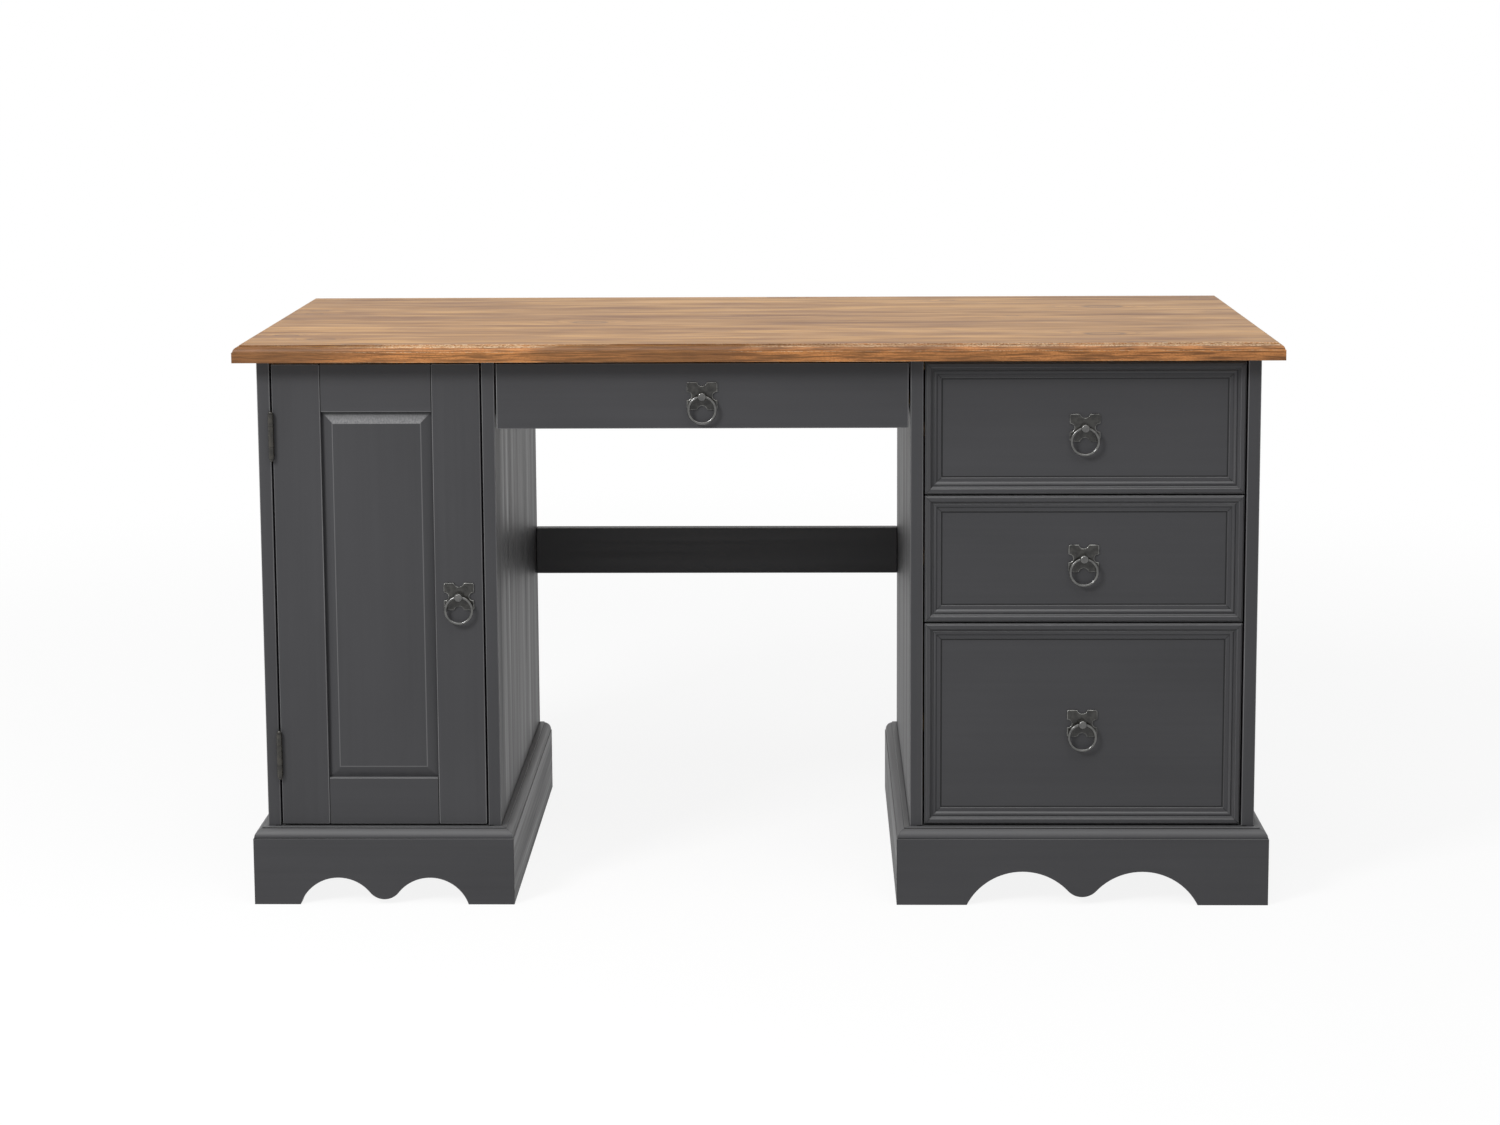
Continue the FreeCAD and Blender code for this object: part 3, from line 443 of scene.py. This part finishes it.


# The paint, by where it lies: on boards, on sloping end grain (dry, and partly a painted highlight), on
# ledges (a painted highlight), on rubbed edges (wear and painted highlight) and in joints and creases
# (painted shade)
PAINT_DEEP, PAINT_PALE = (0.0345, 0.0345, 0.037), (0.0435, 0.0435, 0.0465)
PAINT_DRY_AND_LIT = (0.2, 0.2, 0.205)
PAINT_TOP_LIT = (0.13, 0.13, 0.133)
PAINT_RUBBED_AND_LIT = (0.155, 0.155, 0.158)
CREASE_SHADE_COLOUR = (0.003, 0.003, 0.003)
SLOPE_BEGINS, SLOPE_ENDS = (0.14, 0.3), (0.75, 0.55)
DRY_AND_SHADE_DEPTH, DRY_AND_SHADE_FADE = (0.46, 0.06), (0.05, 1.0)
STIPPLE_SPAN, STIPPLE_COVER = (0.36, 0.62), (0.45, 0.9)
LEDGE_SLOPE, LEDGE_COVER = (0.05, 0.7), (0.0, 0.6)
ARRIS_BEGINS, ARRIS_ENDS, ARRIS_COVER = (0.0, 0.01), (0.055, 0.035), (0.0, 0.45)
RUBBED_AND_LIT_COVER = (0.35, 0.85)
CREASE_SHADE_COVER = 0.95
DRY_HEIGHT = 1.5
PAINT_ROUGHNESS = (0.33, 0.64)
PAINT_IOR = 1.33
PAINT_RELIEF = 0.04 * MM


def grey_paint():
    """Satin grey paint, brushed along the grain over pine whose fibres still show."""
    graph = material_graph("grey_paint_finish")
    grain = graph.vector("grain")
    rise = graph.number("rise")
    cloud = graph.fibres(grain, along=3, across=9, detail=3)
    board = graph.fibres(grain, along=0.7, across=26, detail=3, roughness=0.6)
    streak = graph.fibres(grain, along=2.2, across=150, detail=4, roughness=0.55)
    fibre = graph.fibres(grain, along=18, across=900)
    stipple = graph.fibres(grain, along=330, across=480)
    tone = graph.total((cloud, 0.6), (streak, 0.4))
    colour = graph.mix(graph.between(tone, MOST), PAINT_DEEP, PAINT_PALE)
    # Paint lies thin and dry on end grain that slopes upwards; its pale stipple is also a painted
    # highlight from above, and it fades into painted shade further back, under the rail above it
    slope = graph.number("end_grain")
    sloping = graph.times(graph.between(slope, SLOPE_BEGINS), graph.between(slope, SLOPE_ENDS))
    sloping = graph.times(sloping, graph.between(rise, DRY_AND_SHADE_DEPTH, DRY_AND_SHADE_FADE))
    dry_and_lit = graph.times(sloping, graph.between(stipple, STIPPLE_SPAN, STIPPLE_COVER))
    colour = graph.mix(dry_and_lit, colour, PAINT_DRY_AND_LIT)
    # Faces that look up take a painted highlight from above; edges and the arris round a raised field
    # carry wear and painted highlights; joints and creases take painted shade
    upward = graph.parts(graph.add("ShaderNodeNewGeometry").outputs["Normal"])[UPRIGHT]
    colour = graph.mix(graph.between(upward, LEDGE_SLOPE, LEDGE_COVER), colour, PAINT_TOP_LIT)
    arris = graph.times(graph.between(rise, ARRIS_BEGINS), graph.between(rise, ARRIS_ENDS, ARRIS_COVER))
    rubbed_and_lit = graph.times(graph.number("wear_and_highlight"), graph.between(cloud, CORE, RUBBED_AND_LIT_COVER))
    colour = graph.mix(graph.larger(rubbed_and_lit, arris), colour, PAINT_RUBBED_AND_LIT)
    colour = graph.mix(graph.times(graph.number("crease_shade"), CREASE_SHADE_COVER), colour, CREASE_SHADE_COLOUR)
    height = graph.total((streak, 0.6), (fibre, 0.4), (dry_and_lit, DRY_HEIGHT))
    satin = graph.total((board, 0.45), (streak, 0.55))
    return graph.finish(
        Base_Color=colour, Roughness=graph.between(satin, MOST, PAINT_ROUGHNESS), IOR=PAINT_IOR,
        Normal=graph.bump(height, PAINT_RELIEF),
    )


# Pine: its staves, its knots and its rings
STAVE_DICE = (3.7, 1.3)
STAVE_SHIFT = 7.0
RIPPLE = 16 * MM
KNOT_CELLS = (2.9, 8.5, 0.0)
KNOT_LENGTH_SHARE = 1.7
KNOT_CHANCE, KNOT_SIZES = (0.4, 1.0), (0.2 * MM, 17 * MM)
KNOT_EDGE, KNOT_BARK = (1.15, 0.8), (0.6, 1.0)
KNOT_COVER, BARK_COVER, BARK_SHARE = 0.35, 0.8, 0.3
SWELL_FALL, SWELL_SHARE = -0.3, 0.9
WAVER = 0.05
HEART_DEPTHS = (0.012, 0.085)
RING_WIDTH = 4.2 * MM
LATE_BEGINS, LATE_ENDS = (0.35, 0.9), (1.0, 0.93)
LATE_COVER = (0.12, 0.44)
TONE_STEP = (-0.025, 0.025)
TINT_SPAN = (0.41, 0.585)
STREAK_SPAN, STREAK_COVER = (0.56, 0.76), (0.0, 0.4)
FIBRE_SPAN, FIBRE_COVER = (0.52, 0.75), (0.0, 0.22)
END_SPAN, END_COVER, END_SHARE = (0.85, 0.95), (0.0, 0.8), 0.4
POLISH_SPAN, POLISH_STEP = (0.36, 0.64), (-0.07, 0.09)
WOOD_IOR = 1.4
FIBRE_HEIGHT, LATE_DEPTH = 0.5, 0.5
WOOD_RELIEF = 0.1 * MM
COAT_ROUGHNESS = 0.35
# The stain on the moulded edge of the top
PATCH_SPAN, PATCH_SHARE = (0.42, 0.58), 0.4
DASH_SPAN, DASH_COVER, DASH_SHARE = (0.42, 0.58), (0.0, 0.85), 0.5
PORE_SPAN, PORE_COVER = (0.52, 0.66), (0.0, 0.6)
RIM_COVER = 0.9
# Pale specks on the top's lip are painted highlights
SPECK_SPAN, SPECK_COVER, SPECK_PATCH = (0.45, 0.58), (0.1, 0.9), (0.6, 0.4)
PAINTED_HIGHLIGHT_SPECK = (0.62, 0.46, 0.30)


def wood(name, pale, middle, dark, stave, roughness, sheen=0.0, rim=None):
    """Pine sawn from ringed logs, in glued staves, with knots that the rings flow round."""
    graph = material_graph(name)
    grain = graph.vector("grain")
    along, across, through = (graph.parts(grain)[index] for index in range(3))
    # Each stave comes from a log of its own
    row = graph.math("FLOOR", graph.math("DIVIDE", across, stave))
    chance = graph.parts(graph.dice(graph.joined(row, *STAVE_DICE)))
    in_stave = graph.minus(across, graph.times(row, stave))
    shifted = graph.plus(along, graph.times(chance[2], STAVE_SHIFT))
    stave_place = graph.joined(shifted, across, through)
    ripple = graph.fibres(stave_place, along=5, across=14)
    ripple = graph.times(graph.minus(ripple, MIDDLE), RIPPLE)
    flowing = graph.joined(shifted, graph.plus(across, ripple), through)
    # Knots, one to a cell, with the places squeezed so that cells are long
    squeezed = graph.stretch(stave_place, KNOT_CELLS)
    cell = graph.add(
        "ShaderNodeTexVoronoi", {"Vector": squeezed, "Scale": 1.0}, voronoi_dimensions="2D",
    ).outputs
    offset = graph.add(
        "ShaderNodeVectorMath", {0: squeezed, 1: cell["Position"]}, operation="SUBTRACT",
    ).outputs[0]
    reach = graph.stretch(offset, (1 / KNOT_CELLS[0] / KNOT_LENGTH_SHARE, 1 / KNOT_CELLS[1], 0.0))
    knot_size = graph.between(graph.parts(cell["Color"])[0], KNOT_CHANCE, KNOT_SIZES)
    nearness = graph.math("DIVIDE", graph.length(reach), knot_size)
    swell = graph.math("EXPONENT", graph.times(graph.times(nearness, nearness), SWELL_FALL))
    # Rings about a heart that wanders slowly along the log
    wander = graph.fibres(stave_place, along=1.1, across=5)
    waver = graph.times(graph.minus(wander, MIDDLE), WAVER)
    heart_depth = graph.between(chance[1], FULL, HEART_DEPTHS)
    radius = graph.length(graph.joined(
        graph.plus(graph.minus(in_stave, graph.times(chance[0], stave)), waver),
        graph.plus(graph.plus(through, heart_depth), waver), 0.0,
    ))
    radius = graph.plus(radius, graph.times(swell, graph.times(knot_size, SWELL_SHARE)))
    ring = graph.math("FRACT", graph.math("DIVIDE", radius, RING_WIDTH))
    late = graph.times(graph.between(ring, LATE_BEGINS, smooth=True), graph.between(ring, LATE_ENDS))
    # Colour runs in bands, blotches, streaks and fibres
    broad = graph.fibres(stave_place, along=0.9, across=11)
    band = graph.fibres(flowing, along=2.6, across=42, detail=4, roughness=0.6)
    streak = graph.fibres(flowing, along=9, across=240, detail=3)
    fibre = graph.fibres(flowing, along=30, across=1400)
    blotch = graph.fibres(stave_place, along=7, across=34, detail=3, roughness=0.55, distortion=0.3)
    tint = graph.total((broad, 0.27), (band, 0.33), (blotch, 0.26), (streak, 0.14))
    tint = graph.plus(tint, graph.between(graph.number("tone"), FULL, TONE_STEP))
    colour = graph.mix(graph.between(tint, TINT_SPAN), pale, middle)
    colour = graph.mix(graph.times(late, graph.between(streak, MOST, LATE_COVER)), colour, dark)
    colour = graph.mix(graph.between(streak, STREAK_SPAN, STREAK_COVER), colour, dark)
    colour = graph.mix(graph.between(fibre, FIBRE_SPAN, FIBRE_COVER), colour, dark)
    # Knots are darkest at their bark, and end grain drinks more
    knot = graph.between(nearness, KNOT_EDGE, smooth=True)
    if rim:
        knot = graph.times(knot, graph.between(graph.number("rim"), FALLING))
    bark = graph.times(knot, graph.between(nearness, KNOT_BARK))
    colour = graph.mix(graph.times(knot, KNOT_COVER), colour, middle)
    colour = graph.mix(graph.times(bark, BARK_COVER), colour, deeper(BARK_SHARE, dark))
    end = graph.between(graph.number("end_grain"), END_SPAN, END_COVER)
    colour = graph.mix(end, colour, deeper(END_SHARE, dark))
    # On a moulded edge the stain lies in dashes, and pale specks, painted highlights, lie on its upper
    # rim and its worn edges
    if rim:
        edge = graph.number("rim")
        patch = graph.fibres(grain, along=6, across=34, detail=3)
        dash = graph.fibres(grain, along=22, across=560, detail=4, roughness=0.6)
        pore = graph.fibres(grain, along=420, across=900)
        stained = graph.mix(graph.between(patch, PATCH_SPAN), rim, deeper(PATCH_SHARE, rim))
        stained = graph.mix(graph.between(dash, DASH_SPAN, DASH_COVER), stained, deeper(DASH_SHARE, dark))
        stained = graph.mix(graph.between(pore, PORE_SPAN, PORE_COVER), stained, dark)
        colour = graph.mix(graph.times(edge, RIM_COVER), colour, stained)
        rubbed_and_lit = graph.larger(graph.number("lip"), graph.times(graph.number("wear_and_highlight"), edge))
        rubbed_and_lit = graph.times(rubbed_and_lit, graph.between(pore, SPECK_SPAN, SPECK_COVER))
        colour = graph.mix(graph.times(rubbed_and_lit, graph.between(patch, SPECK_PATCH)), colour, PAINTED_HIGHLIGHT_SPECK)
    height = graph.minus(graph.times(fibre, FIBRE_HEIGHT), graph.times(late, LATE_DEPTH))
    polish = graph.total((tint, 0.6), (streak, 0.4))
    roughnesses = [roughness + step for step in POLISH_STEP]
    return graph.finish(
        Base_Color=colour, Roughness=graph.between(polish, POLISH_SPAN, roughnesses),
        IOR=WOOD_IOR, Coat_Weight=sheen, Coat_Roughness=COAT_ROUGHNESS,
        Normal=graph.bump(height, WOOD_RELIEF),
    )


# Iron that is rubbed at its rims, where rim highlights are painted too, zinc and plastic
IRON_RUBBED_AND_LIT = (0.36, 0.36, 0.345)
IRON_RUBBED_AND_LIT_SPAN, IRON_RUBBED_AND_LIT_COVER = (0.35, 0.6), (0.2, 0.8)
IRON_METAL_SHARE = 0.9
IRON_ROUGHNESS = (0.13, 0.28)
IRON_RELIEF = 0.05 * MM
ZINC_DULL, ZINC_LIGHT, ZINC_ROUGHNESS = (0.48, 0.48, 0.47), (0.62, 0.62, 0.6), (0.3, 0.45)
PLASTIC_DEEP, PLASTIC_PALE, PLASTIC_ROUGHNESS = (0.13, 0.075, 0.042), (0.18, 0.105, 0.06), 0.5
PLASTIC_RELIEF = 0.05 * MM


def dark_iron(name, dim, lit, index):
    """Blackened iron, worn bright at its edges, which also carry painted rim highlights."""
    graph = material_graph(name)
    place = graph.place()
    pitting = graph.noise(place, scale=900.0, detail=4)
    patch = graph.noise(place, scale=160.0, detail=3)
    colour = graph.mix(graph.between(patch, CORE), dim, lit)
    bright = graph.times(graph.number("wear_and_highlight"), graph.between(patch, IRON_RUBBED_AND_LIT_SPAN, IRON_RUBBED_AND_LIT_COVER))
    colour = graph.mix(bright, colour, IRON_RUBBED_AND_LIT)
    return graph.finish(
        Base_Color=colour, Metallic=graph.times(bright, IRON_METAL_SHARE),
        Roughness=graph.between(pitting, MOST, IRON_ROUGHNESS), IOR=index,
        Normal=graph.bump(pitting, IRON_RELIEF),
    )


def zinc_steel():
    graph = material_graph("zinc_steel_finish")
    spangle = graph.noise(graph.place(), scale=500.0, detail=3)
    colour = graph.mix(graph.between(spangle, CORE), ZINC_DULL, ZINC_LIGHT)
    return graph.finish(
        Base_Color=colour, Metallic=1.0, Roughness=graph.between(spangle, MOST, ZINC_ROUGHNESS),
    )


def catch_plastic():
    graph = material_graph("catch_plastic_finish")
    speckle = graph.noise(graph.place(), scale=1200.0)
    colour = graph.mix(graph.between(speckle, MOST), PLASTIC_DEEP, PLASTIC_PALE)
    return graph.finish(
        Base_Color=colour, Roughness=PLASTIC_ROUGHNESS, Normal=graph.bump(speckle, PLASTIC_RELIEF),
    )


plate_iron = dark_iron(
    "plate_iron_finish", dim=(0.011, 0.0108, 0.0098), lit=(0.033, 0.0325, 0.0295), index=1.45,
)
hinge_iron = dark_iron(
    "hinge_iron_finish", dim=(0.009, 0.008, 0.006), lit=(0.028, 0.025, 0.019), index=1.5,
)
materials = {
    "grey_paint": grey_paint(),
    "stained_pine": wood(
        "stained_pine_finish", pale=(0.49, 0.246, 0.057), middle=(0.18, 0.073, 0.014),
        dark=(0.14, 0.049, 0.009), stave=0.2, roughness=0.46, sheen=0.05, rim=(0.42, 0.168, 0.049),
    ),
    "bare_pine": wood(
        "bare_pine_finish", pale=(0.70, 0.52, 0.32), middle=(0.60, 0.42, 0.24), dark=(0.38, 0.22, 0.10),
        stave=0.5, roughness=0.6,
    ),
    "plywood": wood(
        "plywood_finish", pale=(0.64, 0.50, 0.34), middle=(0.57, 0.42, 0.27), dark=(0.42, 0.28, 0.16),
        stave=0.9, roughness=0.6,
    ),
    "dark_iron": dark_iron(
        "dark_iron_finish", dim=(0.006, 0.0058, 0.0048), lit=(0.045, 0.0442, 0.04), index=1.95,
    ),
    "zinc_steel": zinc_steel(),
    "catch_plastic": catch_plastic(),
}

# Every node takes the finish of its slot; wood and the pulls' plates are made again with eased edges
record = frame["record"]
slot_of_node = {part["node"]: part["material_slot"] for part in record["subparts"]}
body_of_node = {node: body for body, nodes in record["behaviour"]["bodies"].items() for node in nodes}
boards_of_node = {
    node: [Solid(triangles) for triangles in solids_of(frame["nodes"][node].data)]
    for node in sorted(frame["nodes"])
}
boards = [board for solids in boards_of_node.values() for board in solids]
for node in boards_of_node:
    slot = slot_of_node[node]
    if slot in WOOD_SLOTS:
        moulded = node == "top_panel" or "_plinth_" in node or node.endswith("_moulding")
        dressed(node, materials[slot], MOULDED_EASE if moulded else BOARD_EASE)
    elif node.endswith("_pull_plate"):
        dressed(node, plate_iron, PLATE_EASE, SHORTEST_PLATE_EDGE)
    elif node.startswith("hinge_"):
        frame["nodes"][node].material_slots[0].material = hinge_iron
    else:
        frame["nodes"][node].material_slots[0].material = materials[slot]


# The stage

def floor():
    corners = [(-FLOOR_REACH, -FLOOR_REACH, 0), (FLOOR_REACH, -FLOOR_REACH, 0),
               (FLOOR_REACH, FLOOR_REACH, 0), (-FLOOR_REACH, FLOOR_REACH, 0)]
    mesh = bpy.data.meshes.new("floor")
    mesh.from_pydata(corners, [], [(0, 1, 2, 3)])
    plane = bpy.data.objects.new("floor", mesh)
    bpy.context.scene.collection.objects.link(plane)
    graph = material_graph("floor_white")
    paint = graph.add("ShaderNodeBsdfDiffuse", {"Color": rgba(FLOOR_GREY)})
    white = graph.between(graph.length(graph.place()), FLOOR_WHITENS, FLOOR_WHITENESS, smooth=True)
    glow = graph.add("ShaderNodeEmission", {"Color": rgba(WHITE), "Strength": 1.0})
    share = graph.times(graph.seen(), white)
    blend = graph.add("ShaderNodeMixShader", {0: share, 1: paint.outputs[0], 2: glow.outputs[0]})
    mesh.materials.append(graph.end("ShaderNodeOutputMaterial", blend))


def white_world():
    graph = Graph(bpy.data.worlds.new("white_room"))
    level = graph.between(graph.seen(), FULL, WORLD_LEVEL)
    sky = graph.add("ShaderNodeBackground", {"Color": rgba(WHITE), "Strength": level})
    bpy.context.scene.world = graph.end("ShaderNodeOutputWorld", sky)


def soft_lamp(name, place, aim, width, power):
    light = bpy.data.lights.new(name, "AREA")
    light.size = width
    light.energy = power
    lamp = bpy.data.objects.new(name, light)
    lamp.location = place
    lamp.rotation_euler = (Vector(aim) - Vector(place)).to_track_quat("-Z", "Y").to_euler()
    bpy.context.scene.collection.objects.link(lamp)


def camera():
    data = bpy.data.cameras.new("camera")
    data.sensor_width = SENSOR_WIDTH_MM
    data.lens = FOCAL_LENGTH_PX * SENSOR_WIDTH_MM / IMAGE_WIDTH_PX
    data.shift_y = CAMERA_SHIFT
    eye = bpy.data.objects.new("camera", data)
    level = Matrix.Rotation(math.radians(90) - CAMERA_PITCH, 4, "X")
    turn = Matrix.Rotation(-CAMERA_YAW, 4, "Z")
    tilt = Matrix.Rotation(CAMERA_ROLL, 4, "Z")
    eye.matrix_world = Matrix.Translation(CAMERA_PLACE) @ turn @ level @ tilt
    bpy.context.scene.collection.objects.link(eye)
    bpy.context.scene.camera = eye


floor()
white_world()
soft_lamp("key", KEY_PLACE, KEY_AIM, KEY_WIDTH, KEY_POWER)
soft_lamp("top", TOP_PLACE, TOP_AIM, TOP_WIDTH, TOP_POWER)
camera()
bpy.context.scene.view_settings.view_transform = "Standard"
